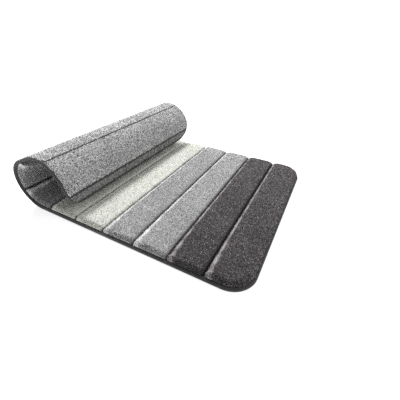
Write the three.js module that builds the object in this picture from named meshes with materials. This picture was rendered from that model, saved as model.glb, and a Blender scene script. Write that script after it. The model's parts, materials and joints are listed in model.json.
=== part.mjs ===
// A padded plush bath mat with cross stripes. Most of it lies flat; one end is curled up and over
// itself, backing outward, and unrolls again. Millimetres, +Z up, +X toward the flat end.
import * as THREE from "three";

// ---- driving dimensions ----
const WIDTH = 500;
const LENGTH = 812;
const PITCH = 78.1;              // width of one sewn stripe
const FIRST_CHANNEL = 85.3;      // from the flat end to the first sewn channel
const CORNER = 50;               // outer corner radius in plan
const HEM = 8.3;                 // width of the edge binding, seen from the pile side
const HEM_BACK = 5;              // how far it reaches in over the backing
const HEM_HEIGHT = 7;
const GAP = 0.3;                 // clearance between neighbouring pieces
const CORNER_STEPS = 12;         // straight runs of binding around one corner

const BACKING = 1.2;             // thickness of the non-slip backing
const FOAM_SEAM = 5.4;           // top of the foam where a channel pinches it
const FOAM_MID = 9.7;            // top of the foam in the middle of a stripe
const PILE_EDGE = 9;             // pile height at a channel
const PILE_TOP = 20;             // pile height in the middle of a stripe
const PILE_SIDE = 2;             // pile thickness left along the long edges
const CHANNEL_HALF = 1.2;        // half the open width of a channel
const THREAD = { width: 1.6, height: 2.6, setback: 2 };

// Fold lines of the curled end: how high they lie in the pad, where they are along the mat, and
// how many degrees the mat turns at each while it is curled.
const FOLD_HEIGHT = 14.5;
const FOLDS = [
  { at: channel(5) + PITCH / 2, bend: 38 },
  { at: channel(6), bend: 47 },
  { at: channel(6) + PITCH / 2, bend: 48.5 },
  { at: channel(7), bend: 22.5 },
  { at: channel(7) + PITCH / 2, bend: 23 },
  { at: channel(8), bend: 39 },
  { at: channel(8) + 34, bend: 34 },
  { at: channel(8) + 66, bend: 36 },
];

const STRIPE_COLOURS = [
  "dark", "dark", "grey", "grey", "cream", "cream", "grey", "grey", "dark", "dark",
];
const LOOKS = {
  pile_dark: { color: 0x5c5859, roughness: 1 },
  pile_grey: { color: 0xa9a9a9, roughness: 1 },
  pile_cream: { color: 0xdddfd8, roughness: 1 },
  foam: { color: 0xe9e4d2, roughness: 0.95 },
  backing: { color: 0xa8a8a6, roughness: 0.9 },
  binding: { color: 0x3e3e3e, roughness: 0.85 },
  thread: { color: 0x555456, roughness: 0.7 },
};
const materials = {};
for (const [name, look] of Object.entries(LOOKS)) {
  materials[name] = new THREE.MeshStandardMaterial({ ...look, metalness: 0, name });
}

// Distance of a sewn channel from the flat end; channel 0 is the first one.
function channel(index) {
  return FIRST_CHANNEL + index * PITCH;
}

// The stripe's own start and end along the mat, inside its channels or the binding.
function stripeSpan(index) {
  const last = STRIPE_COLOURS.length - 1;
  const start = index === 0 ? HEM + GAP : channel(index - 1) + CHANNEL_HALF;
  const end = index === last ? LENGTH - HEM - GAP : channel(index) - CHANNEL_HALF;
  return { start, end };
}

function stripeAt(s) {
  const count = STRIPE_COLOURS.length;
  for (let index = 0; index < count - 1; index += 1) {
    if (s < channel(index)) return index;
  }
  return count - 1;
}

// -1 at the stripe's start, 0 in its middle, 1 at its end.
function acrossStripe(s, index) {
  const { start, end } = stripeSpan(index);
  const t = (2 * s - start - end) / (end - start);
  return THREE.MathUtils.clamp(t, -1, 1);
}

// A pad's section: flat on top with round shoulders, 1 in the middle and 0 at either edge.
function shoulder(t) {
  return Math.pow(Math.max(0, 1 - Math.pow(Math.abs(t), 3.2)), 0.625);
}

function foamTop(s, index) {
  const t = acrossStripe(s, index);
  return FOAM_SEAM + (FOAM_MID - FOAM_SEAM) * (1 - Math.pow(t, 6));
}

// Along its long edges the pile is thinner, and keeps PILE_SIDE of itself above the foam.
function pileTop(s, v, index) {
  const full = PILE_EDGE + (PILE_TOP - PILE_EDGE) * shoulder(acrossStripe(s, index));
  const side = Math.max(PILE_EDGE, foamTop(s, index) + GAP + PILE_SIDE);
  return side + (full - side) * shoulder(Math.pow(Math.abs(v), 6));
}

// Half the width inside an inset from the mat's edge, which narrows around the rounded corners.
function halfWidth(s, inset) {
  const radius = CORNER - inset;
  const inner = WIDTH / 2 - inset;
  const fromEnd = Math.min(s, LENGTH - s) - inset;
  if (fromEnd >= radius) return inner;
  const rest = radius - Math.max(0, fromEnd);
  return inner - radius + Math.sqrt(radius * radius - rest * rest);
}

// ---- solids, all in the frame of the body that carries them: x = origin - s, z = h - datum ----

// A closed slab between two heights. Each station across the mat has a place s and, where a fold
// needs room for the pile, a top edge leaned back from it.
function slab(stations, rows, bottom, top, frame, inset = HEM + GAP) {
  const positions = [];
  const count = rows.length;
  for (const station of stations) {
    const half = halfWidth(station.s, inset);
    for (const v of rows) {
      const lean = station.lean ?? 0;
      positions.push(frame.origin - station.s - lean, v * half, top(station.s, v) - frame.datum);
      positions.push(frame.origin - station.s, v * half, bottom(station.s) - frame.datum);
    }
  }
  const upper = (i, j) => 2 * (i * count + j);
  const lower = (i, j) => 2 * (i * count + j) + 1;
  const faces = [];
  const quad = (a, b, c, d) => faces.push(a, b, c, b, d, c);
  const last = stations.length - 1;
  for (let i = 0; i < last; i += 1) {
    for (let j = 0; j < count - 1; j += 1) {
      quad(upper(i, j), upper(i, j + 1), upper(i + 1, j), upper(i + 1, j + 1));
      quad(lower(i, j), lower(i + 1, j), lower(i, j + 1), lower(i + 1, j + 1));
    }
    quad(upper(i, 0), upper(i + 1, 0), lower(i, 0), lower(i + 1, 0));
    const edge = count - 1;
    quad(upper(i, edge), lower(i, edge), upper(i + 1, edge), lower(i + 1, edge));
  }
  for (let j = 0; j < count - 1; j += 1) {
    quad(upper(0, j), lower(0, j), upper(0, j + 1), lower(0, j + 1));
    quad(upper(last, j), upper(last, j + 1), lower(last, j), lower(last, j + 1));
  }
  return closedGeometry(positions, faces);
}

function closedGeometry(positions, faces) {
  const geometry = new THREE.BufferGeometry();
  geometry.setAttribute("position", new THREE.Float32BufferAttribute(positions, 3));
  geometry.setIndex(faces);
  geometry.computeVertexNormals();
  return geometry;
}

// Stations from one place to another, close together at the shoulders of every stripe they cross
// and around the rounded corners.
function stationsBetween(from, to) {
  const places = [from, to];
  const steps = [-1, -0.98, -0.92, -0.8, -0.5, 0, 0.5, 0.8, 0.92, 0.98, 1];
  for (let index = 0; index < STRIPE_COLOURS.length; index += 1) {
    const { start, end } = stripeSpan(index);
    for (const t of steps) places.push((start + end) / 2 + (t * (end - start)) / 2);
  }
  for (const inset of [2, 7, 15, 27, CORNER - HEM - GAP]) {
    places.push(HEM + GAP + inset, LENGTH - HEM - GAP - inset);
  }
  const inside = places.filter((s) => s >= from && s <= to).sort((a, b) => a - b);
  return inside.filter((s, i) => i === 0 || s - inside[i - 1] > 0.05).map((s) => ({ s }));
}

const PILE_ROWS = [-1, -0.99, -0.96, -0.9, -0.6, 0, 0.6, 0.9, 0.96, 0.99, 1];
const FLAT_ROWS = [-1, 1];

// The plush of one stripe, or of the stretch of it between two folds. A fold in the middle of a
// stripe leans the pile's end back by half its bend, so that the curled mat has room inside.
function pilePad(from, to, leanFrom, leanTo, frame) {
  const index = stripeAt((from + to) / 2);
  const { start, end } = stripeSpan(index);
  const stations = stationsBetween(Math.max(from, start), Math.min(to, end));
  const back = (degrees) => (PILE_TOP - FOLD_HEIGHT) * Math.tan(THREE.MathUtils.degToRad(degrees / 2));
  stations[0].lean = leanFrom ? back(leanFrom) : 0;
  stations[stations.length - 1].lean = leanTo ? -back(leanTo) : 0;
  const bottom = (s) => foamTop(s, index) + GAP;
  const top = (s, v) => pileTop(s, v, index);
  return slab(withRoom(stations), PILE_ROWS, bottom, top, frame);
}

// Drops stations that a leaned end would fold over.
function withRoom(stations) {
  const first = stations[0];
  const last = stations[stations.length - 1];
  const lowest = first.s + (first.lean ?? 0) + 0.4;
  const highest = last.s + (last.lean ?? 0) - 0.4;
  return stations.filter((p) => p === first || p === last || (p.s > lowest && p.s < highest));
}

function foamPad(from, to, frame) {
  const stations = stationsBetween(Math.max(from, HEM + GAP), Math.min(to, LENGTH - HEM - GAP));
  const top = (s) => foamTop(s, stripeAt(s));
  return slab(stations, FLAT_ROWS, () => BACKING + GAP, top, frame);
}

function backingSheet(from, to, frame) {
  const inset = HEM_BACK + GAP;
  const start = Math.max(from, inset);
  const end = Math.min(to, LENGTH - inset);
  const places = [start, end];
  for (const step of [2, 6, 13, 23, CORNER - inset]) places.push(inset + step, LENGTH - inset - step);
  const inside = places.filter((s) => s >= start && s <= end).sort((a, b) => a - b);
  const stations = inside.filter((s, i) => i === 0 || s - inside[i - 1] > 0.05).map((s) => ({ s }));
  return slab(stations, FLAT_ROWS, () => 0, () => BACKING, frame, inset);
}

// The binding's section: distance in from the mat's edge, and height. It goes round from its inner
// corner beside the backing, along the foam, over the top and back underneath. Every point can be
// seen from the first one, so that bindingStrip can close its ends with a fan.
const HEM_SECTION = [
  [HEM_BACK, BACKING + GAP], [HEM, BACKING + GAP], [HEM, HEM_HEIGHT - 1.6],
  [HEM - 1.3, HEM_HEIGHT - 0.5], [HEM / 2, HEM_HEIGHT], [2, HEM_HEIGHT - 0.9],
  [0.5, HEM_HEIGHT - 2.8], [0, HEM_HEIGHT / 2], [0, 1.5], [0.6, 0.4], [1.4, 0], [HEM_BACK, 0],
];

// The binding swept along the edge of the mat. Each path point is a place on the edge and the
// direction from it to the inside of the mat.
function bindingStrip(path, frame) {
  const positions = [];
  for (const { s, y, inS, inY } of path) {
    for (const [inward, h] of HEM_SECTION) {
      positions.push(frame.origin - s - inward * inS, y + inward * inY, h - frame.datum);
    }
  }
  const ring = HEM_SECTION.length;
  const faces = [];
  for (let i = 0; i < path.length - 1; i += 1) {
    for (let k = 0; k < ring; k += 1) {
      const a = i * ring + k;
      const b = i * ring + ((k + 1) % ring);
      faces.push(a, b, a + ring, b, b + ring, a + ring);
    }
  }
  const end = (path.length - 1) * ring;
  for (let k = 1; k < ring - 1; k += 1) {
    faces.push(0, k + 1, k);
    faces.push(end, end + k, end + k + 1);
  }
  return closedGeometry(positions, faces);
}

// A point of the mat's edge on a straight side; side is -1 for the near edge and 1 for the far edge.
function straightPoint(s, side) {
  return { s, y: side * WIDTH / 2, inS: 0, inY: -side };
}

// Points of the mat's edge around one corner, from one turn to another: 0 is where the corner leaves
// the long side and a quarter turn is where it meets the end of the mat.
function cornerPoints(fromTurn, toTurn, side, atCurledEnd) {
  const endwards = atCurledEnd ? 1 : -1;
  const centreS = atCurledEnd ? LENGTH - CORNER : CORNER;
  const count = Math.ceil((CORNER_STEPS * (toTurn - fromTurn)) / (Math.PI / 2));
  const path = [];
  for (let step = 0; step <= count; step += 1) {
    const turn = fromTurn + ((toTurn - fromTurn) * step) / count;
    const outS = endwards * Math.sin(turn);
    const outY = side * Math.cos(turn);
    const y = side * (WIDTH / 2 - CORNER) + CORNER * outY;
    path.push({ s: centreS + CORNER * outS, y, inS: -outS, inY: -outY });
  }
  return path;
}

// How far round the curled end's corners the edge has turned at a place along the mat.
function cornerTurn(s) {
  return Math.asin(Math.max(0, s - (LENGTH - CORNER)) / CORNER);
}

// Edge points along one long side. Past the start of the curled end's corner they follow it.
function sideEdge(from, to, side) {
  const start = straightPoint(from, side);
  if (to <= LENGTH - CORNER) return [start, straightPoint(to, side)];
  return [start, ...cornerPoints(0, cornerTurn(to), side, true)];
}

// Edge points around one end of the mat, from a place on the near side to the same place on the
// far side. The end is the flat one at s = 0 or the curled one at s = LENGTH.
function endEdge(from, atCurledEnd) {
  const turn = atCurledEnd ? cornerTurn(from) : 0;
  const near = cornerPoints(turn, Math.PI / 2, -1, atCurledEnd);
  const far = cornerPoints(turn, Math.PI / 2, 1, atCurledEnd).reverse();
  if (turn > 0) return [...near, ...far];
  return [straightPoint(from, -1), ...near, ...far, straightPoint(from, 1)];
}

function threadLine(at, frame) {
  const length = 2 * (WIDTH / 2 - HEM - GAP - THREAD.setback);
  const geometry = new THREE.BoxGeometry(THREAD.width, length, THREAD.height);
  const middle = FOAM_SEAM + GAP + 0.2 + THREAD.height / 2;
  geometry.translate(frame.origin - at, 0, middle - frame.datum);
  return geometry;
}

// ---- assembly ----

function add(group, name, geometry, slot) {
  const mesh = new THREE.Mesh(geometry, materials[slot]);
  mesh.name = name;
  group.add(mesh);
}

function pileSlot(index) {
  return `pile_${STRIPE_COLOURS[index]}`;
}

const first = FOLDS[0];
const clear = GAP / 2;

// The flat part, with the start of the stripe that the first fold crosses.
const foldedStripe = stripeAt(first.at);
const mat = new THREE.Group();
const flatFrame = { origin: 0, datum: 0 };
const flatEnd = first.at - clear;
add(mat, "backing_flat", backingSheet(0, flatEnd, flatFrame), "backing");
add(mat, "foam_flat", foamPad(0, flatEnd, flatFrame), "foam");
for (let index = 0; index <= foldedStripe; index += 1) {
  const { start, end } = stripeSpan(index);
  const folded = index === foldedStripe;
  const to = folded ? flatEnd : end;
  const pad = pilePad(start, to, 0, folded ? first.bend : 0, flatFrame);
  add(mat, `pile_stripe_${index + 1}`, pad, pileSlot(index));
}
for (let index = 0; index < foldedStripe; index += 1) {
  add(mat, `stitch_line_${index + 1}`, threadLine(channel(index), flatFrame), "thread");
}
const flatEdge = endEdge(flatEnd, false);
add(mat, "binding_flat", bindingStrip(flatEdge, flatFrame), "binding");

// The curled end: every stretch between two folds hangs on the one before it.
let carrier = mat;
let carrierStart = 0;
let carrierHeight = 0;
FOLDS.forEach((fold, k) => {
  const turn = new THREE.Group();
  turn.position.set(carrierStart - fold.at, 0, FOLD_HEIGHT - carrierHeight);
  turn.rotation.y = THREE.MathUtils.degToRad(fold.bend);
  carrier.add(turn);

  const number = k + 1;
  const next = FOLDS[k + 1];
  const isLast = next === undefined;
  const frame = { origin: fold.at, datum: FOLD_HEIGHT };
  const from = fold.at + clear;
  const to = isLast ? LENGTH : next.at - clear;
  const index = stripeAt((from + to) / 2);
  const onChannel = (place) => Math.abs(place.at - channel(stripeAt(place.at - 1))) < 0.01;
  const leanFrom = onChannel(fold) ? 0 : fold.bend;
  const leanTo = isLast || onChannel(next) ? 0 : next.bend;

  add(turn, `backing_curl_${number}`, backingSheet(from, to, frame), "backing");
  add(turn, `foam_curl_${number}`, foamPad(from, to, frame), "foam");
  const pad = pilePad(from, to, leanFrom, leanTo, frame);
  add(turn, `pile_curl_${number}_stripe_${index + 1}`, pad, pileSlot(index));
  if (isLast) {
    const edge = endEdge(from, true).reverse();
    add(turn, "binding_curled_end", bindingStrip(edge, frame), "binding");
  } else {
    const near = bindingStrip(sideEdge(from, to, -1).reverse(), frame);
    const far = bindingStrip(sideEdge(from, to, 1), frame);
    add(turn, `binding_curl_${number}_near`, near, "binding");
    add(turn, `binding_curl_${number}_far`, far, "binding");
  }
  if (!isLast && onChannel(next)) {
    const line = threadLine(next.at, frame);
    add(turn, `stitch_line_${stripeAt(next.at - 1) + 1}`, line, "thread");
  }
  carrier = turn;
  carrierStart = fold.at;
  carrierHeight = FOLD_HEIGHT;
});

// The part's origin is under the middle of its bounding box.
mat.updateMatrixWorld(true);
const box = new THREE.Box3().setFromObject(mat, true);
mat.position.x = -(box.min.x + box.max.x) / 2;
const group = new THREE.Group();
group.add(mat);
group.updateMatrixWorld(true);

export default group;
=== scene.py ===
"""A padded plush bath mat with cross stripes, one end curled up and over itself.

The pad is described flat, by three numbers in millimetres: s, the distance from the flat end along
the mat; y, across it; h, the height above its underside. place() bends that flat pad into the curl.
"""

import json
import math

import bpy
import numpy as np
from mathutils import Matrix, Vector


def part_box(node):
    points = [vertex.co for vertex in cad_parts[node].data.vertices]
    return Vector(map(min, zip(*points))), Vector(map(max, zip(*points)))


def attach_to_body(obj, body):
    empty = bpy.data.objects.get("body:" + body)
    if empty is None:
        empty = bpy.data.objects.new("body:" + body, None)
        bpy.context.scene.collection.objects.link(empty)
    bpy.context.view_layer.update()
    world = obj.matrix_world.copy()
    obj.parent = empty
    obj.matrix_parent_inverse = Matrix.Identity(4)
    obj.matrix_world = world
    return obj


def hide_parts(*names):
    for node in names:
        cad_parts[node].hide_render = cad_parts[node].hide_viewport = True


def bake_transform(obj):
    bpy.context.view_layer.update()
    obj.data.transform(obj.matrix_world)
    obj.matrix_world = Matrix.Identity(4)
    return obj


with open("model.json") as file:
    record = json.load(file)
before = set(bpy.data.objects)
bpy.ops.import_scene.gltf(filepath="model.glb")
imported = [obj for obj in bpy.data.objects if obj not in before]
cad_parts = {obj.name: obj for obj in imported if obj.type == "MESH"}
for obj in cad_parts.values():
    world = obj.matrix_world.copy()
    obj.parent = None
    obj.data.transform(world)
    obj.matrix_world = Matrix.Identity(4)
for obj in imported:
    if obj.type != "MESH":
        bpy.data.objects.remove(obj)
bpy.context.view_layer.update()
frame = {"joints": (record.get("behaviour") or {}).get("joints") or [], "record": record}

MM = 0.001

# ---- the mat's own sizes, in millimetres, as in the CAD model ----
WIDTH = 500.0
LENGTH = 812.0
PITCH = 78.1             # width of one stripe
FIRST_CHANNEL = 85.3     # from the flat end to the first sewn channel
STRIPE_SLOTS = ["dark", "dark", "grey", "grey", "cream", "cream", "grey", "grey", "dark", "dark"]
STRIPES = len(STRIPE_SLOTS)
FLAT_CHANNELS = 6        # channels in the flat part, which ends inside the stripe after them
CORNER = 50.0            # outer radius of the mat's corners
HEM = 8.3                # width of the binding on top
HEM_BACK = 5.0           # how far it reaches in over the backing
GAP = 0.3                # between neighbouring pieces
BACKING = 1.2            # thickness of the backing
FOAM_SEAM = 5.4          # top of the foam at a channel
FOAM_MID = 9.7           # top of the foam in the middle of a stripe

# ---- the plush skin, which the tufts stand on ----
SEAM_HEIGHT = 4.6        # its height in a channel
STITCH_HEIGHT = SEAM_HEIGHT + 0.4
PILE_TOP = 18.2          # its height in the middle of a stripe
CROWN = 1.3              # how much of that is a slow rise toward the middle
PILE_SIDE_HEIGHT = 8.2   # its height at the mat's edge
PLUSH_EDGE = 5.2         # from the mat's edge to the plush, which overhangs the binding
SHOULDER = 8.0           # radius of a stripe's shoulder at a channel
NOTCH = 9.0              # added to it where a channel runs out at the mat's edge
NOTCH_REACH = 14.0       # how fast that dies away from the edge
EDGE_SHOULDER = 9.0      # radius of the shoulder along the mat's edge
SKIN_STEP = 3.0          # grid step along the mat
SKIN_ROWS = 97           # grid rows across it

# ---- lines in the pile and the backing ----
LINE = 1.5               # half the open width of a sewn channel
END_BAND = 31.0          # the band of backing along the curled end's edge, darkened with painted shade
END_LINE = 14.0          # its last stretch, darker still: a painted contact shadow
HIGHLIGHT_MIDDLE = 5.0             # from a channel to the middle of the painted highlight beside it
HIGHLIGHT_HALF = 3.2        # half the width of that band
NEAR_REACH = 45.0        # how fast it narrows away from the near edge

# The curl: the flat stretch, then a back arc, a straight and a front arc, each with its length and
# its bending radius at the height NEUTRAL, where the pad keeps its length.
NEUTRAL = 14.5
CURL = [
    (503.0, None),
    (47.1 * math.radians(156), 47.1),
    (37.0, None),
    (55.0 * math.radians(150), 55.0),
]

HALF_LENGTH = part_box("binding_flat")[1].x / MM


def channel(index):
    return FIRST_CHANNEL + index * PITCH


CHANNELS = [channel(index) for index in range(STRIPES - 1)]
# Fold lines along the mat: half way along a stripe or on a channel, and two in the last stripe.
LAST_FOLDS = (34, 66)    # from the last channel
LAST_BLEND = 16          # how far past the last fold its piece still turns
FOLD_STATIONS = [
    channel(5) + PITCH / 2,
    channel(6),
    channel(6) + PITCH / 2,
    channel(7),
    channel(7) + PITCH / 2,
    channel(8),
]
FOLD_STATIONS += [channel(8) + past for past in LAST_FOLDS]
# Where one piece ends and the next begins: half way between two folds.
BREAKS = [FOLD_STATIONS[0] - PITCH / 4]
BREAKS += [(a + b) / 2 for a, b in zip(FOLD_STATIONS, FOLD_STATIONS[1:])]


# ---- the pad bent into its curl ----

def centre_line(s):
    """x, z and turned angle of the neutral line at s, before the shift to the frame's origin."""
    s = np.asarray(s, float)
    x = np.zeros_like(s)
    z = np.full_like(s, NEUTRAL)
    turn = np.zeros_like(s)
    left = s.copy()
    for length, radius in CURL + [(1e6, None)]:
        step = np.clip(left, 0, length)
        if radius is None:
            x -= step * np.cos(turn)
            z += step * np.sin(turn)
        else:
            after = turn + step / radius
            x -= radius * (np.sin(after) - np.sin(turn))
            z += radius * (np.cos(turn) - np.cos(after))
            turn = after
        left = left - step
    return x, z, turn


def place(s, y, h):
    """Flat pad coordinates to points in the frame, in metres."""
    x, z, turn = centre_line(s)
    rise = np.asarray(h, float) - NEUTRAL
    px = HALF_LENGTH + x + rise * np.sin(turn)
    pz = z + rise * np.cos(turn)
    points = np.stack(np.broadcast_arrays(px, np.asarray(y, float), pz), axis=-1)
    return points * MM


# ---- the flat pad's shape ----

def shoulder(away, radius):
    """A quarter-round edge: 0 at the edge of a pad and 1 from one radius inside it."""
    inside = np.clip(away / radius, 0, 1)
    return np.sqrt(1 - (1 - inside) ** 2)


def across_stripe(s):
    """-1 at a stripe's start, 0 in its middle and 1 at its end, for every s."""
    edges = np.array([HEM + GAP] + CHANNELS + [LENGTH - HEM - GAP])
    index = np.clip(np.searchsorted(edges, s, side="right") - 1, 0, STRIPES - 1)
    start = edges[index]
    end = edges[index + 1]
    return np.clip((2 * s - start - end) / (end - start), -1, 1)


def from_channel(s):
    """Distance to the nearest sewn channel."""
    return np.min(np.abs(np.asarray(s)[..., None] - np.array(CHANNELS)), axis=-1)


def from_edge(s, y):
    """Distance in from the plush's outer edge, round the corners too."""
    half = WIDTH / 2 - PLUSH_EDGE
    reach = LENGTH / 2 - PLUSH_EDGE
    radius = CORNER - PLUSH_EDGE
    past_s = np.maximum(np.abs(s - LENGTH / 2) - (reach - radius), 0)
    past_y = np.maximum(np.abs(y) - (half - radius), 0)
    straight = np.minimum(reach - np.abs(s - LENGTH / 2), half - np.abs(y))
    rounded = radius - np.hypot(past_s, past_y)
    return np.where((past_s > 0) & (past_y > 0), rounded, straight)


def half_width(s, inset=HEM + GAP):
    """Half the mat's width inside an inset from its edge, rounded at the four corners."""
    radius = CORNER - inset
    inner = WIDTH / 2 - inset
    from_end = np.clip(np.minimum(s, LENGTH - s) - inset, 0, radius)
    return inner - radius + np.sqrt(np.maximum(radius**2 - (radius - from_end) ** 2, 0))


def foam_top(s):
    return FOAM_SEAM + (FOAM_MID - FOAM_SEAM) * (1 - across_stripe(s) ** 6)


def ripple(s, y):
    """Slow unevenness of a hand-sewn pad, between about -1 and 1."""
    a = np.sin(s / 31 + 1.3 * np.sin(y / 47)) * np.sin(y / 38 + 0.6)
    b = np.sin(s / 17 + y / 23 + 2.1) * np.sin(y / 61 - s / 44)
    return 0.6 * a + 0.4 * b


def pucker(s, y):
    """Small pleats that a line of stitches draws into the pad beside a channel."""
    waves = np.sin(y / 3.6 + 2.0 * np.sin(y / 29)) + 0.6 * np.sin(y / 7.9 + 1.0)
    return np.exp(-((from_channel(s) - 8) / 6) ** 2) * waves


def past_channel(s):
    """Distance past the nearest sewn channel, below 0 on the channel's flat-end side."""
    away = np.asarray(s)[..., None] - np.array(CHANNELS)
    nearest = np.argmin(np.abs(away), axis=-1)[..., None]
    return np.take_along_axis(away, nearest, axis=-1)[..., 0]


def painted_highlight(s, y):
    """A painted highlight on the pile beside a channel: along the flat-end side of every channel,
    in a band that widens toward the near edge of the mat."""
    near = np.exp(-(y + WIDTH / 2) / NEAR_REACH)
    broken = 1 + 0.25 * np.sin(y / 9 + 2 * np.sin(y / 31)) + 0 * s
    middle = HIGHLIGHT_MIDDLE + 4 * near
    half = HIGHLIGHT_HALF + 6 * near
    return broken * np.exp(-((-past_channel(s) - middle) / half) ** 2)


def painted_crease_shade(s):
    """How much of its tone the pile keeps beside a channel, a painted shade in the crease: least on
    the side past the channel, and least of all on the cream stripes, whose creases would be too
    pale otherwise."""
    past = past_channel(s)
    in_cream = (s > channel(3)) & (s < channel(5))
    least = np.where(past > 0, np.where(in_cream, -1.0, -0.35), 0.5)
    reach = np.where(past > 0, 4.5, 3.0)
    return least + (1 - least) * np.clip((np.abs(past) - LINE) / reach, 0, 1)


def skin_tone(s, y):
    """Tone of the plush's skin between its tufts: kept low as painted shade among the tufts, raised
    by the painted highlight, and below 0 in the crease of a channel, a painted shade there.
    """
    crease = np.exp(-(from_channel(s) / 2.2) ** 2)
    return np.maximum(0.3, painted_highlight(s, y)) * (1 - crease) - 0.25 * crease


def end_shade(s):
    """How much of its tone the backing keeps toward the curled end's edge, as painted shade: half
    of it in the band, and hardly any along its last stretch, a painted contact shadow."""
    in_band = np.clip((s - LENGTH + END_BAND) / 1.5, 0, 1)
    at_last = np.clip((s - LENGTH + END_LINE) / 3, 0, 1)
    return (1 - 0.45 * in_band) * (1 - 0.9 * at_last)


def backing_tone(s, y):
    """Tone of the backing between its tufts: lowered by the painted shade toward the curled end,
    and below 0 on its sewn lines, a painted shade in their grooves.
    """
    line = np.exp(-(from_channel(s) / 1.6) ** 2)
    line = line + np.exp(-((s - LENGTH + END_BAND) / 2.6) ** 4)
    return np.maximum(0.4 * end_shade(s) - 0.7 * line, -0.25) + 0 * y


def plush_top(s, y):
    """Height of the plush's skin, with its slow unevenness and the pleats beside its channels."""
    inside = from_edge(s, y)
    away = from_channel(s)
    radius = SHOULDER + NOTCH * np.exp(-np.maximum(inside, 0) / NOTCH_REACH)
    crown = CROWN * (1 - across_stripe(s) ** 2)
    full = SEAM_HEIGHT + (PILE_TOP - CROWN + crown - SEAM_HEIGHT) * shoulder(away, radius)
    full = full + 0.5 * ripple(s, y) * shoulder(away, 20) + 0.3 * pucker(s, y)
    side = np.minimum(full, PILE_SIDE_HEIGHT)
    return side + (full - side) * shoulder(inside, EDGE_SHOULDER)


def plush_under(s, y):
    """The skin's inner side, on the foam where there is room."""
    return np.minimum(foam_top(s) + GAP, plush_top(s, y) - 0.8)


def backing_under(s, y):
    """The backing's outer side, drawn in a little at every sewn line."""
    return 0.75 * np.exp(-(from_channel(s) / 1.6) ** 2) + 0 * y


def backing_top(s, y):
    return BACKING + 0 * y


def foam_under(s, y):
    return BACKING + GAP + 0 * y


def foam_top_at(s, y):
    """The foam's top, pushed down wherever the plush leaves it less room."""
    return np.minimum(foam_top(s), plush_under(s, y) - 0.2)


# ---- meshes ----

def new_object(name, points, faces, uv, tone=None):
    """A smooth-shaded mesh with a uv and, if given, a tone for each point."""
    mesh = bpy.data.meshes.new(name)
    mesh.from_pydata(points.tolist(), [], faces)
    layer = mesh.uv_layers.new(name="pad")
    corner = np.empty(len(mesh.loops), np.int32)
    mesh.loops.foreach_get("vertex_index", corner)
    layer.data.foreach_set("uv", np.asarray(uv)[corner].astype(np.float32).ravel())
    if tone is not None:
        layer = mesh.attributes.new("tone", "FLOAT", "POINT")
        layer.data.foreach_set("value", np.asarray(tone, np.float32))
    mesh.polygons.foreach_set("use_smooth", [True] * len(mesh.polygons))
    mesh.update()
    obj = bpy.data.objects.new(name, mesh)
    bpy.context.scene.collection.objects.link(obj)
    return obj


def grid_faces(rows, columns, offset=0, flip=False):
    faces = []
    for i in range(rows - 1):
        for j in range(columns - 1):
            a = offset + i * columns + j
            quad = (a, a + 1, a + columns + 1, a + columns)
            faces.append(quad[::-1] if flip else quad)
    return faces


def slab(name, s_values, v_values, under, top, tone=None, inset=HEM + GAP):
    """A closed slab of the pad between two height functions, bent with the pad."""
    s, v = np.meshgrid(s_values, v_values, indexing="ij")
    y = v * half_width(s, inset)
    rows, columns = s.shape
    upper = place(s, y, top(s, y)).reshape(-1, 3)
    lower = place(s, y, under(s, y)).reshape(-1, 3)
    count = rows * columns
    faces = grid_faces(rows, columns, flip=True) + grid_faces(rows, columns, offset=count)
    ring = list(range(columns))
    ring += [i * columns + columns - 1 for i in range(1, rows)]
    ring += [(rows - 1) * columns + j for j in range(columns - 2, -1, -1)]
    ring += [i * columns for i in range(rows - 2, 0, -1)]
    for a, b in zip(ring, ring[1:] + ring[:1]):
        faces.append((a, b, b + count, a + count))
    points = np.concatenate([upper, lower])
    uv = np.stack([s.ravel(), y.ravel() + WIDTH / 2], axis=1) * MM
    if tone is not None:
        tone = np.tile(tone(s, y).ravel(), 2)
    return new_object(name, points, faces, np.concatenate([uv, uv]), tone)


def spaced(start, end, step):
    return np.linspace(start, end, max(2, int(round((end - start) / step)) + 1))


def stations(start, end, step, close=0.7):
    """Places along the mat, closer together beside each channel, where the pad is steep."""
    values = list(spaced(start, end, step))
    for line in [HEM + GAP] + CHANNELS + [LENGTH - HEM - GAP]:
        for away in np.arange(-6, 6.1, close):
            if start < line + away < end:
                values.append(line + away)
    values = np.sort(np.array(values))
    keep = np.concatenate([[True], np.diff(values) > 0.25])
    keep[-1] = True
    if values[-1] - values[keep][-2] < 0.25:
        keep[np.nonzero(keep)[0][-2]] = False
    return values[keep]


def edge_rows(count):
    """Rows across the mat, from -1 to 1 and closer together at its two edges."""
    a = np.linspace(-1, 1, count)
    return np.sign(a) * (1 - (1 - np.abs(a)) ** 2.2)


EDGE_BAND = 8.0          # along the mat's edges the tufts stand closer, in a band this wide
END_REACH = 40.0         # a piece this close to an end of the mat has some of that band


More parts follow.
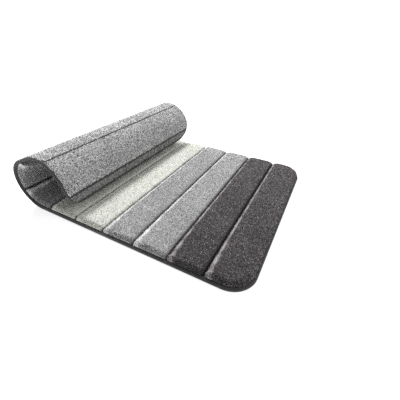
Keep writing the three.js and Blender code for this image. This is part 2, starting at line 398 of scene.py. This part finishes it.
def scattered(rng, start, end, spacing, side, inset):
    """Places for tufts, off the lines: one in each cell of a grid and more along the edges."""
    rows = max(1, int(round((end - start) / spacing)))
    columns = int(WIDTH / spacing)
    s, y = np.meshgrid(np.arange(rows) + 0.5, np.arange(columns) + 0.5, indexing="ij")
    s = start + (s + rng.uniform(-0.5, 0.5, s.shape)) * (end - start) / rows
    y = (y + rng.uniform(-0.5, 0.5, y.shape)) * WIDTH / columns - WIDTH / 2
    s, y = s.ravel(), y.ravel()
    extra = int(0.12 * len(s))
    at_edge = rng.uniform(0, EDGE_BAND, extra)
    s_edge = rng.uniform(start, end, extra)
    y_edge = rng.choice([-1, 1], extra) * (half_width(s_edge, inset) - at_edge)
    s, y = np.concatenate([s, s_edge]), np.concatenate([y, y_edge])
    if side > 0 and (start < END_REACH or end > LENGTH - END_REACH):
        more = int(0.2 * len(s))
        from_end = PLUSH_EDGE + rng.uniform(0, EDGE_BAND, more)
        s = np.concatenate([s, from_end if start < END_REACH else LENGTH - from_end])
        y = np.concatenate([y, rng.uniform(-WIDTH / 2, WIDTH / 2, more)])
    inside = (np.abs(y) < half_width(s, inset) - 0.2) & (s > start) & (s < end)
    inside &= from_channel(s) > LINE
    if side < 0:
        inside &= np.abs(s - LENGTH + END_BAND) > 1.4 * LINE
    return s[inside], y[inside]


def leaning(rng, s, y, surface, side):
    """The way each tuft points: square to the surface, then swayed in patches and at random."""
    reach = 0.4
    slope_s = (surface(s + reach, y) - surface(s - reach, y)) / (2 * reach)
    slope_y = (surface(s, y + reach) - surface(s, y - reach)) / (2 * reach)
    axis = np.stack([-slope_s, -slope_y, np.ones_like(s)], axis=1)
    axis[:, :2] = np.clip(axis[:, :2], -2.5, 2.5)
    axis /= np.linalg.norm(axis, axis=1)[:, None]
    axis[:, 0] += rng.normal(0, 0.22, len(s)) + 0.08 * np.sin(s / 23 + y / 57)
    axis[:, 1] += rng.normal(0, 0.22, len(s)) + 0.08 * np.cos(y / 31 - s / 40)
    axis /= np.linalg.norm(axis, axis=1)[:, None]
    axis[:, 2] *= side
    return axis


def tufts(name, start, end, spacing, surface, length, radius, lift, seed, mix, side=1,
          inset=PLUSH_EDGE):
    """Short soft tufts standing on a surface of the pad, as three-sided fibres of their own tone.

    side is 1 for the pile, which stands up from the pad, and -1 for the nap under the backing; lift
    is how deep a tuft is rooted, and mix the two shapes of the beta spread of the tones."""
    rng = np.random.default_rng(seed)
    s, y = scattered(rng, start, end, spacing, side, inset)
    axis = leaning(rng, s, y, surface, side)
    size = rng.uniform(0.75, 1.2, len(s)) * rng.choice([1, 1.5], len(s), p=[0.9, 0.1])
    root = np.stack([s, y, surface(s, y) - side * lift], axis=1)
    turn = rng.uniform(0, 2 * math.pi, len(s))
    tip = root + axis * (length * size)[:, None]
    above_floor = place(tip[:, 0], tip[:, 1], tip[:, 2])[:, 2] > 0.2 * MM
    s, y, size, root, turn, tip = (a[above_floor] for a in (s, y, size, root, turn, tip))
    corners = []
    for k in range(3):
        angle = turn + 2 * math.pi * k / 3
        around = np.stack([np.cos(angle), np.sin(angle), np.zeros_like(s)], axis=1)
        corners.append(root + around * (radius * size)[:, None])
    flat = np.stack(corners + [tip], axis=1).reshape(-1, 3)
    points = place(flat[:, 0], flat[:, 1], flat[:, 2])
    base = 4 * np.arange(len(s))[:, None]
    faces = []
    for k in range(3):
        a, b = (k, (k + 1) % 3) if side > 0 else ((k + 1) % 3, k)
        faces.append(np.concatenate([base + a, base + b, base + 3], axis=1))
    faces = np.concatenate(faces).tolist()
    uv = np.repeat(np.stack([s, y + WIDTH / 2], axis=1) * MM, 4, axis=0)
    tone = rng.beta(*mix, len(s))
    if side > 0:
        # painted shade in the creases beside each channel
        tone *= painted_crease_shade(s)
        # painted highlight: the tone is raised in the band beside each channel
        tone += painted_highlight(s, y) * (1 - tone) * rng.uniform(0.1, 1.3, len(s))
    else:
        # painted shade toward the curled end's edge
        tone *= end_shade(s)
    tone = np.repeat(tone, 4)
    tone.reshape(-1, 4)[:, :3] *= 0.72   # a tuft is darker at its root, a painted shade deep in the pile
    return new_object(name, points, faces, uv, tone)


STITCH_SIDES = 6
# A stitch's four places along its length, as shares of it, and how far each stands out there.
STITCH_ARCH = ((-0.5, -0.35), (-0.3, 0.25), (0.3, 0.25), (0.5, -0.35))


def stitches(name, paths, length=3.5, step=4.7, radius=0.42):
    """Rows of raised stitches. A path gives s, y, h and the outward side along a 0 to 1 course."""
    all_points = []
    faces = []
    for path in paths:
        course = np.array(path, float)
        gaps = np.linalg.norm(np.diff(course[:, :3], axis=0), axis=1)
        along = np.concatenate([[0], np.cumsum(gaps)])
        middles = np.arange(step / 2, along[-1], step)
        for middle in middles:
            ends = []
            for offset, bulge in STITCH_ARCH:
                at = np.clip(middle + offset * length, 0, along[-1])
                point = [np.interp(at, along, course[:, k]) for k in range(4)]
                ends.append((np.array(point[:3]), bulge * point[3]))
            direction = ends[2][0] - ends[1][0]
            direction /= np.linalg.norm(direction)
            sideways = np.cross(direction, (0, 0, 1))
            first = len(all_points)
            all_points.append(ends[0][0] + (0, 0, ends[0][1]))
            for ring in (1, 2):
                centre = ends[ring][0] + (0, 0, ends[ring][1])
                for k in range(STITCH_SIDES):
                    angle = 2 * math.pi * k / STITCH_SIDES
                    across = 1.25 * math.cos(angle) * sideways
                    around = across + math.sin(angle) * np.array((0, 0, 1))
                    all_points.append(centre + radius * around)
            all_points.append(ends[3][0] + (0, 0, ends[3][1]))
            ring_a = first + 1
            ring_b = ring_a + STITCH_SIDES
            for k in range(STITCH_SIDES):
                k2 = (k + 1) % STITCH_SIDES
                faces.append((first, ring_a + k2, ring_a + k))
                faces.append((ring_a + k, ring_a + k2, ring_b + k2, ring_b + k))
                faces.append((ring_b + STITCH_SIDES, ring_b + k, ring_b + k2))
    flat = np.array(all_points)
    uv = flat[:, :2] * MM
    return new_object(name, place(flat[:, 0], flat[:, 1], flat[:, 2]), faces, uv)


# The binding's section: distance in from the mat's edge, and height, from its inner corner beside
# the backing, along the foam, over the top, round the outside and back underneath.
HEM_SECTION = np.array([
    (5.0, 1.5), (8.3, 1.5), (8.3, 3.0), (8.3, 4.5), (8.0, 5.5), (7.1, 6.2), (5.9, 6.6), (4.6, 6.8),
    (3.3, 6.5), (2.1, 5.9), (1.1, 5.0), (0.4, 3.9), (0.05, 2.9), (0.1, 1.8), (0.6, 0.8), (1.6, 0.2),
    (3.2, 0.0), (4.6, 0.05), (5.0, 0.5),
])


def binding(name, path):
    """The folded tape swept along the mat's edge. A path point is s, y and the way inward."""
    path = np.array(path, float)
    gaps = np.hypot(np.diff(path[:, 0]), np.diff(path[:, 1]))
    along = np.concatenate([[0], np.cumsum(gaps)])
    ring = len(HEM_SECTION)
    sides = np.linalg.norm(np.diff(HEM_SECTION, axis=0), axis=1)
    round_section = np.concatenate([[0], np.cumsum(sides)])
    inward, height = HEM_SECTION[:, 0], HEM_SECTION[:, 1]
    s = path[:, 0:1] + inward * path[:, 2:3]
    y = path[:, 1:2] + inward * path[:, 3:4]
    wave = 0.22 * np.sin(path[:, 0:1] / 8.5 + path[:, 1:2] / 9.5)
    wave = wave + 0.15 * np.sin(path[:, 0:1] / 3.1)
    h = height + wave * np.clip(height / height.max(), 0, 1)
    points = place(s.ravel(), y.ravel(), h.ravel())
    faces = []
    for i in range(len(path) - 1):
        for k in range(ring):
            a = i * ring + k
            b = i * ring + (k + 1) % ring
            faces.append((a, b, b + ring, a + ring))
    faces.append(tuple(range(ring - 1, -1, -1)))
    faces.append(tuple(range((len(path) - 1) * ring, len(path) * ring)))
    u = np.repeat(along, ring)
    v = np.tile(round_section, len(path))
    return new_object(name, points, faces, np.stack([u, v], axis=1) * MM)


EDGE_STEP = 2.5          # between the binding's sections along the mat
END_STEP = 3.0           # and across its ends


def side_path(start, end, side):
    """Along one long edge; side is -1 near and 1 far. It runs so that faces look outward."""
    s = spaced(start, end, EDGE_STEP)
    if side > 0:
        s = s[::-1]
    return [(a, side * WIDTH / 2, 0, -side) for a in s]


def corner_path(end_is_curled, side):
    """Around one rounded corner, from the end of the mat to its long side."""
    centre = LENGTH - CORNER if end_is_curled else CORNER
    endward = 1 if end_is_curled else -1
    path = []
    for angle in np.linspace(0, math.pi / 2, 13):
        out_s, out_y = endward * math.cos(angle), side * math.sin(angle)
        y = side * (WIDTH / 2 - CORNER) + CORNER * out_y
        path.append((centre + CORNER * out_s, y, -out_s, -out_y))
    return path


def end_path(split, end_is_curled):
    """From the near side round one end of the mat to the far side."""
    near = corner_path(end_is_curled, -1)[::-1]
    far = corner_path(end_is_curled, 1)
    edge, inward = (LENGTH, -1) if end_is_curled else (0, 1)
    half = WIDTH / 2 - CORNER
    across = [(edge, y, inward, 0) for y in spaced(-half, half, END_STEP)]
    sides = spaced(split, edge + inward * CORNER, EDGE_STEP)
    start = [(a, -WIDTH / 2, 0, 1) for a in sides[:-1]]
    finish = [(a, WIDTH / 2, 0, -1) for a in sides[:-1][::-1]]
    path = start + near + across[1:-1] + far + finish
    return path[::-1] if not end_is_curled else path


# ---- materials ----

def linear(r, g, b):
    """A colour given as 0 to 255 display values, as the shader wants it."""
    values = []
    for value in (r, g, b):
        v = value / 255
        values.append(v / 12.92 if v <= 0.04045 else ((v + 0.055) / 1.055) ** 2.4)
    return (*values, 1.0)


class Shader:
    """A node material being built: add() makes a node and sets its values, link() joins two."""

    def __init__(self, name):
        self.material = bpy.data.materials.new(name)
        self.material.use_nodes = True
        self.tree = self.material.node_tree
        self.main = self.tree.nodes["Principled BSDF"]
        self.uv = self.add("ShaderNodeUVMap", uv_map="pad").outputs["UV"]

    def add(self, kind, inputs=None, **settings):
        node = self.tree.nodes.new(kind)
        for key, value in settings.items():
            setattr(node, key, value)
        for key, value in (inputs or {}).items():
            if isinstance(value, bpy.types.NodeSocket):
                self.tree.links.new(value, node.inputs[key])
            else:
                node.inputs[key].default_value = value
        return node

    def link(self, output, name):
        self.tree.links.new(output, self.main.inputs[name])

    def noise(self, scale, detail=2.0, roughness=0.55, stretch=(1, 1, 1)):
        mapping = self.add("ShaderNodeMapping", {"Vector": self.uv, "Scale": stretch})
        inputs = {"Vector": mapping.outputs[0], "Scale": scale, "Detail": detail}
        inputs["Roughness"] = roughness
        return self.add("ShaderNodeTexNoise", inputs).outputs["Fac"]

    def math(self, operation, a, b):
        return self.add("ShaderNodeMath", {0: a, 1: b}, operation=operation).outputs[0]

    def ramp(self, value, stops):
        node = self.add("ShaderNodeValToRGB", {"Fac": value})
        node.color_ramp.elements[0].position = stops[0][0]
        node.color_ramp.elements[0].color = stops[0][1]
        node.color_ramp.elements[1].position = stops[-1][0]
        node.color_ramp.elements[1].color = stops[-1][1]
        for position, colour in stops[1:-1]:
            node.color_ramp.elements.new(position).color = colour
        return node.outputs["Color"]

    def bump(self, height, strength, distance):
        inputs = {"Height": height, "Strength": strength, "Distance": distance}
        normal = self.add("ShaderNodeBump", inputs).outputs["Normal"]
        self.link(normal, "Normal")

    def finish(self, roughness, sheen=0.0, sheen_roughness=0.5, specular=0.3):
        self.main.inputs["Roughness"].default_value = roughness
        self.main.inputs["Sheen Weight"].default_value = sheen
        self.main.inputs["Sheen Roughness"].default_value = sheen_roughness
        self.main.inputs["Specular IOR Level"].default_value = specular
        return self.material


CREASE = linear(24, 24, 24)   # the shade deep in a channel, for tones of 0 and less


def plush_material(name, dark, middle, light, sheen):
    """Microfibre plush: every tuft its own tone, with soft brushed patches and fine fibres."""
    shader = Shader(name)
    tone = shader.add("ShaderNodeAttribute", attribute_name="tone").outputs["Fac"]
    patches = shader.noise(30.0, 3.0)
    fibres = shader.noise(900.0, 2.0)
    mix = shader.math("MULTIPLY", tone, 0.86)
    mix = shader.math("ADD", mix, shader.math("MULTIPLY", patches, 0.1))
    mix = shader.math("ADD", mix, shader.math("MULTIPLY", fibres, 0.1))
    stops = [(0.0, CREASE), (0.12, dark), (0.52, middle), (0.95, light)]
    shader.link(shader.ramp(mix, stops), "Base Color")
    shader.bump(fibres, 0.35, 0.0008)
    return shader.finish(0.95, sheen, 0.6, 0.15)


def backing_material():
    """Brushed grey non-slip backing: a heathered knit of light and dark fibres."""
    shader = Shader("backing")
    tone = shader.add("ShaderNodeAttribute", attribute_name="tone").outputs["Fac"]
    heather = shader.noise(420.0, 3.0, 0.7, (1.6, 1, 1))
    cloudy = shader.noise(16.0, 3.0)
    fine = shader.noise(1300.0, 2.0)
    mix = shader.math("MULTIPLY", tone, 0.72)
    mix = shader.math("ADD", mix, shader.math("MULTIPLY", heather, 0.22))
    mix = shader.math("ADD", mix, shader.math("MULTIPLY", cloudy, 0.06))
    mix = shader.math("ADD", mix, shader.math("MULTIPLY", fine, 0.08))
    dark, middle, light = linear(42, 42, 42), linear(168, 168, 168), linear(250, 250, 250)
    stops = [(0.0, CREASE), (0.2, dark), (0.52, middle), (0.86, light)]
    shader.link(shader.ramp(mix, stops), "Base Color")
    shader.bump(fine, 0.4, 0.0006)
    return shader.finish(0.92, 0.25, 0.6, 0.2)


def binding_material():
    """Dark grosgrain tape: fine ribs across it, with slightly worn, lighter patches."""
    shader = Shader("binding")
    stretched = shader.add("ShaderNodeMapping", {"Vector": shader.uv, "Scale": (1.0, 0.03, 1.0)})
    inputs = {"Vector": stretched.outputs[0], "Scale": 330.0, "Distortion": 0.6, "Detail": 1.0}
    ribs = shader.add("ShaderNodeTexWave", inputs).outputs["Fac"]
    worn = shader.noise(60.0, 4.0)
    threads = shader.noise(1500.0, 2.0)
    mix = shader.math("MULTIPLY", ribs, 0.3)
    mix = shader.math("ADD", mix, shader.math("MULTIPLY", worn, 0.45))
    mix = shader.math("ADD", mix, shader.math("MULTIPLY", threads, 0.3))
    dark, middle, light = linear(34, 34, 35), linear(58, 58, 58), linear(86, 86, 85)
    shader.link(shader.ramp(mix, [(0.25, dark), (0.55, middle), (0.85, light)]), "Base Color")
    shader.bump(shader.math("ADD", ribs, threads), 0.5, 0.0005)
    return shader.finish(0.85, 0.15, 0.5, 0.25)


def thread_material():
    """Twisted polyester sewing thread."""
    shader = Shader("thread")
    inputs = {"Vector": shader.uv, "Scale": 900.0, "Distortion": 1.0}
    twist = shader.add("ShaderNodeTexWave", inputs).outputs["Fac"]
    dark, light = linear(46, 45, 46), linear(96, 94, 95)
    shader.link(shader.ramp(twist, [(0.2, dark), (0.8, light)]), "Base Color")
    shader.bump(twist, 0.5, 0.0003)
    return shader.finish(0.6, 0.1, 0.5, 0.35)


def foam_material():
    """Open-cell memory foam: pale, with small round pores."""
    shader = Shader("foam")
    inputs = {"Vector": shader.uv, "Scale": 700.0, "Randomness": 1.0}
    cells = shader.add("ShaderNodeTexVoronoi", inputs).outputs["Distance"]
    aged = shader.noise(12.0, 3.0)
    mix = shader.math("MULTIPLY", cells, 0.5)
    mix = shader.math("ADD", mix, shader.math("MULTIPLY", aged, 0.4))
    dark, light = linear(203, 192, 160), linear(240, 233, 214)
    shader.link(shader.ramp(mix, [(0.2, dark), (0.7, light)]), "Base Color")
    shader.bump(cells, 0.5, 0.0006)
    return shader.finish(0.95, 0.0, 0.5, 0.2)


MATERIALS = {
    "pile_dark": plush_material(
        "pile_dark", linear(24, 22, 23), linear(76, 72, 73), linear(176, 171, 172), 0.1
    ),
    "pile_grey": plush_material(
        "pile_grey", linear(74, 74, 74), linear(176, 176, 176), linear(248, 248, 248), 0.15
    ),
    "pile_cream": plush_material(
        "pile_cream", linear(158, 159, 150), linear(236, 237, 229), linear(254, 254, 250), 0.15
    ),
    "backing": backing_material(),
    "binding": binding_material(),
    "thread": thread_material(),
    "foam": foam_material(),
}


# ---- pieces ----


def fold_ends(fold):
    """Where a piece over this fold starts and stops turning, as two points in the frame."""
    start = BREAKS[fold]
    end = BREAKS[fold + 1] if fold + 1 < len(BREAKS) else FOLD_STATIONS[fold] + LAST_BLEND
    trim = 0.14 * (end - start)
    a, b = place(np.array([start + trim, end - trim]), np.zeros(2), np.full(2, NEUTRAL))
    return Vector(a), Vector(b)


def attach(obj, fold, slots, replaced=()):
    """Gives a piece its materials and hides the CAD nodes that it replaces; a piece on the flat
    part is tied to the flat body, and a piece over a fold is baked in place.
    """
    for slot in slots:
        obj.data.materials.append(MATERIALS[slot])
    if replaced:
        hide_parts(*replaced)
    if fold is None:
        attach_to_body(obj, "flat")
    else:
        start, end = fold_ends(fold)
        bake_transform(obj)
    return obj


def stripe_index(s):
    return int(np.clip(np.searchsorted(CHANNELS, s, side="right"), 0, STRIPES - 1))


def stripe_slots(start, end):
    """The pile slots between two places on the mat, in order and each named once."""
    indices = range(stripe_index(start + 0.5), stripe_index(end - 0.5) + 1)
    return list(dict.fromkeys("pile_" + STRIPE_SLOTS[index] for index in indices))


def plush_piece(name, start, end, fold, replaced, seed):
    """The plush skin between two places on the mat, and the tufts that stand on it."""
    slots = stripe_slots(start, end)
    s_values = stations(start, end, SKIN_STEP)
    skin = slab(name, s_values, edge_rows(SKIN_ROWS), plush_under, plush_top, skin_tone,
                PLUSH_EDGE)
    pile = tufts(name + "_tufts", start, end, 1.55, plush_top, 2.3, 0.85, lift=0.8,
                 seed=seed + 50, mix=(0.6, 0.6))
    for obj in (skin, pile):
        if len(slots) > 1:
            paint_beyond(obj, next(c for c in CHANNELS if start + 1 < c < end - 1))
        attach(obj, fold, slots, replaced if obj is skin else ())


def paint_beyond(obj, boundary):
    """Gives the faces of a piece past a channel its second material."""
    uv = np.empty(2 * len(obj.data.loops), np.float32)
    obj.data.uv_layers["pad"].data.foreach_get("uv", uv)
    first = np.array([p.loop_start for p in obj.data.polygons])
    beyond = uv.reshape(-1, 2)[first, 0] / MM > boundary
    obj.data.polygons.foreach_set("material_index", beyond.astype(np.int32))


def channel_path(at, height, outward):
    """The course of the stitches in one channel, which stops just short of the binding."""
    half = WIDTH / 2 - HEM - GAP - 1.5
    return [(at, y, height, outward) for y in spaced(-half, half, 6)]


def build_flat():
    """The part that lies flat: seven stripes, the last as far as the first fold's blend."""
    split = BREAKS[0]
    inset = HEM_BACK + GAP
    for index in range(FLAT_CHANNELS + 1):
        start = CHANNELS[index - 1] if index else PLUSH_EDGE
        end = split if index == FLAT_CHANNELS else CHANNELS[index]
        replaced = [f"pile_stripe_{index + 1}"]
        plush_piece(f"plush_stripe_{index + 1}", start, end, None, replaced, seed=index + 1)
    for index in range(FLAT_CHANNELS):
        name = f"channel_stitches_{index + 1}"
        row = stitches(name, [channel_path(CHANNELS[index], STITCH_HEIGHT, 1)])
        attach(row, None, ["thread"], [f"stitch_line_{index + 1}"])
    paths = [channel_path(at, 0.55, -1) for at in CHANNELS[:FLAT_CHANNELS]]
    under = stitches("backing_stitches_flat", paths)
    attach(under, None, ["thread"])

    foam = slab("foam_core_flat", stations(HEM + GAP, split, 12, 3), edge_rows(25),
                foam_under, foam_top_at)
    attach(foam, None, ["foam"], ["foam_flat"])

    sheet = slab("backing_sheet_flat", stations(inset, split, 4, 1.2), edge_rows(81),
                 backing_under, backing_top, backing_tone, inset)
    attach(sheet, None, ["backing"], ["backing_flat"])
    declare_sheet(inset, split)

    path = end_path(split, False)
    tape = binding("binding_tape_flat", path)
    attach(tape, None, ["binding"], ["binding_flat"])
    attach(stitches("binding_stitches_flat", [tape_stitches(path)]), None, ["thread"])


def tape_stitches(path):
    """The row of stitches that holds the binding, along the top of its roll."""
    inset, height = 3.4, 6.35
    return [(s + inset * a, y + inset * b, height, 1) for s, y, a, b in path]


def declare_sheet(start, end):
    """Works out points along the middle of a stretch of backing; nothing is done with them."""
    middle = place(spaced(start, end, 1), np.zeros(1), np.full(1, BACKING / 2))


def build_curl():
    """The curled end, in one piece of each layer for every fold."""
    for fold, joint in enumerate(frame["joints"]):
        number = fold + 1
        start = BREAKS[fold]
        last = number == len(frame["joints"])
        end = LENGTH if last else BREAKS[fold + 1]
        pad_end = LENGTH - PLUSH_EDGE if last else end
        foam_end = LENGTH - HEM - GAP if last else end
        nodes = frame["record"]["behaviour"]["bodies"][joint["child"]]
        pile = [n for n in nodes if n.startswith("pile")]
        plush_piece(f"plush_curl_{number}", start, pad_end, fold, pile, seed=20 + number)

        foam = slab(f"foam_core_curl_{number}", stations(start, foam_end, 4, 3), edge_rows(25),
                    foam_under, foam_top_at)
        attach(foam, fold, ["foam"], [n for n in nodes if n.startswith("foam")])

        sheet_end = LENGTH - HEM_BACK - GAP if last else end
        sheet = slab(f"backing_sheet_curl_{number}", stations(start, sheet_end, 2, 0.8),
                     edge_rows(121), backing_under, backing_top, backing_tone, HEM_BACK + GAP)
        attach(sheet, fold, ["backing"], [n for n in nodes if n.startswith("backing")])
        declare_sheet(start, sheet_end)
        nap = tufts(f"backing_nap_curl_{number}", start, sheet_end, 1.75, backing_under, 1.7, 0.92,
                    lift=0.2, seed=80 + number, side=-1, inset=HEM_BACK - 1, mix=(0.42, 0.42))
        attach(nap, fold, ["backing"])

        if last:
            path = end_path(start, True)
            tape = binding("binding_tape_end", path)
            attach(tape, fold, ["binding"], [n for n in nodes if n.startswith("binding")])
            attach(stitches("binding_stitches_end", [tape_stitches(path)]), fold, ["thread"])
        else:
            for side, word in ((-1, "near"), (1, "far")):
                path = side_path(start, end, side)
                tape = binding(f"binding_tape_curl_{number}_{word}", path)
                attach(tape, fold, ["binding"], [f"binding_curl_{number}_{word}"])
                row = stitches(f"binding_stitches_curl_{number}_{word}", [tape_stitches(path)])
                attach(row, fold, ["thread"])
        for index, at in enumerate(CHANNELS):
            if start < at < end:
                path = channel_path(at, STITCH_HEIGHT, 1)
                row = stitches(f"channel_stitches_{index + 1}", [path])
                attach(row, fold, ["thread"], [f"stitch_line_{index + 1}"])
                row = stitches(f"backing_stitches_{index + 1}", [channel_path(at, 0.35, -1)])
                attach(row, fold, ["thread"])


# ---- floor, light and camera ----

def build_stage():
    """A plain pale floor, wide enough to fill the view, just under the mat."""
    half, height = 12.0, -0.0006
    mesh = bpy.data.meshes.new("floor")
    corners = [(x * half, y * half, height) for x, y in ((-1, -1), (1, -1), (1, 1), (-1, 1))]
    mesh.from_pydata(corners, [], [(0, 1, 2, 3)])
    floor = bpy.data.objects.new("floor", mesh)
    bpy.context.scene.collection.objects.link(floor)
    material = bpy.data.materials.new("floor")
    material.use_nodes = True
    shader = material.node_tree.nodes["Principled BSDF"]
    shader.inputs["Base Color"].default_value = (0.8, 0.8, 0.8, 1)
    shader.inputs["Emission Color"].default_value = (1, 1, 1, 1)
    shader.inputs["Emission Strength"].default_value = 0.62
    shader.inputs["Roughness"].default_value = 0.9
    shader.inputs["Specular IOR Level"].default_value = 0.1
    mesh.materials.append(material)


def area_light(name, location, target, size, watts):
    """A round soft light aimed at a target; size is its width in metres."""
    data = bpy.data.lights.new(name, "AREA")
    data.shape = "DISK"
    data.size = size
    data.energy = watts
    light = bpy.data.objects.new(name, data)
    light.location = location
    light.rotation_euler = (Vector(target) - Vector(location)).to_track_quat("-Z", "Y").to_euler()
    bpy.context.scene.collection.objects.link(light)


def build_light():
    """A white room, dimmer as light than it looks, a key light above and two weaker ones."""
    world = bpy.data.worlds.new("studio")
    world.use_nodes = True
    background = world.node_tree.nodes["Background"]
    background.inputs["Color"].default_value = (1, 1, 1, 1)
    seen = world.node_tree.nodes.new("ShaderNodeLightPath").outputs["Is Camera Ray"]
    strength = world.node_tree.nodes.new("ShaderNodeMix")
    strength.inputs[2].default_value = 0.52
    strength.inputs[3].default_value = 1.0
    world.node_tree.links.new(seen, strength.inputs[0])
    world.node_tree.links.new(strength.outputs[0], background.inputs["Strength"])
    bpy.context.scene.world = world
    area_light("key", (-0.75, 0.75, 1.9), (0, 0, 0.03), 0.5, 41)
    area_light("rim", (-1.6, 0.7, 0.75), (0.1, 0, 0.03), 0.5, 15)
    area_light("fill", (1.5, 0.1, 1.0), (0, 0, 0.05), 1.0, 8)


def build_camera():
    """The camera looks down at the flat end's near corner, a little tilted, with a wide lens."""
    azimuth, elevation, roll = math.radians(25.75), math.radians(35.24), math.radians(2.47)
    level = math.cos(elevation)
    forward = Vector((-math.sin(azimuth) * level, math.cos(azimuth) * level, -math.sin(elevation)))
    right = Vector((math.cos(azimuth), math.sin(azimuth), 0))
    up = right.cross(forward)
    across = math.cos(roll) * right + math.sin(roll) * up
    upward = math.cos(roll) * up - math.sin(roll) * right
    data = bpy.data.cameras.new("camera")
    data.lens = 22.96
    data.sensor_width = 36
    from_corner = Vector((0.029, -0.259, 0.374))
    camera = bpy.data.objects.new("camera", data)
    turn = Matrix((across, upward, -forward)).transposed().to_4x4()
    corner = Vector((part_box("binding_flat")[1].x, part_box("binding_flat")[0].y, 0))
    camera.matrix_world = Matrix.Translation(corner + from_corner) @ turn
    bpy.context.scene.collection.objects.link(camera)
    bpy.context.scene.camera = camera


build_flat()
build_curl()
build_stage()
build_light()
build_camera()
bpy.context.scene.view_settings.view_transform = "Standard"
# The denoiser would smear the plush's single fibres into blotches.
bpy.context.scene.cycles.use_denoising = False
bpy.context.scene.cycles.sample_clamp_direct = 4.0
bpy.context.scene.cycles.sample_clamp_indirect = 2.0
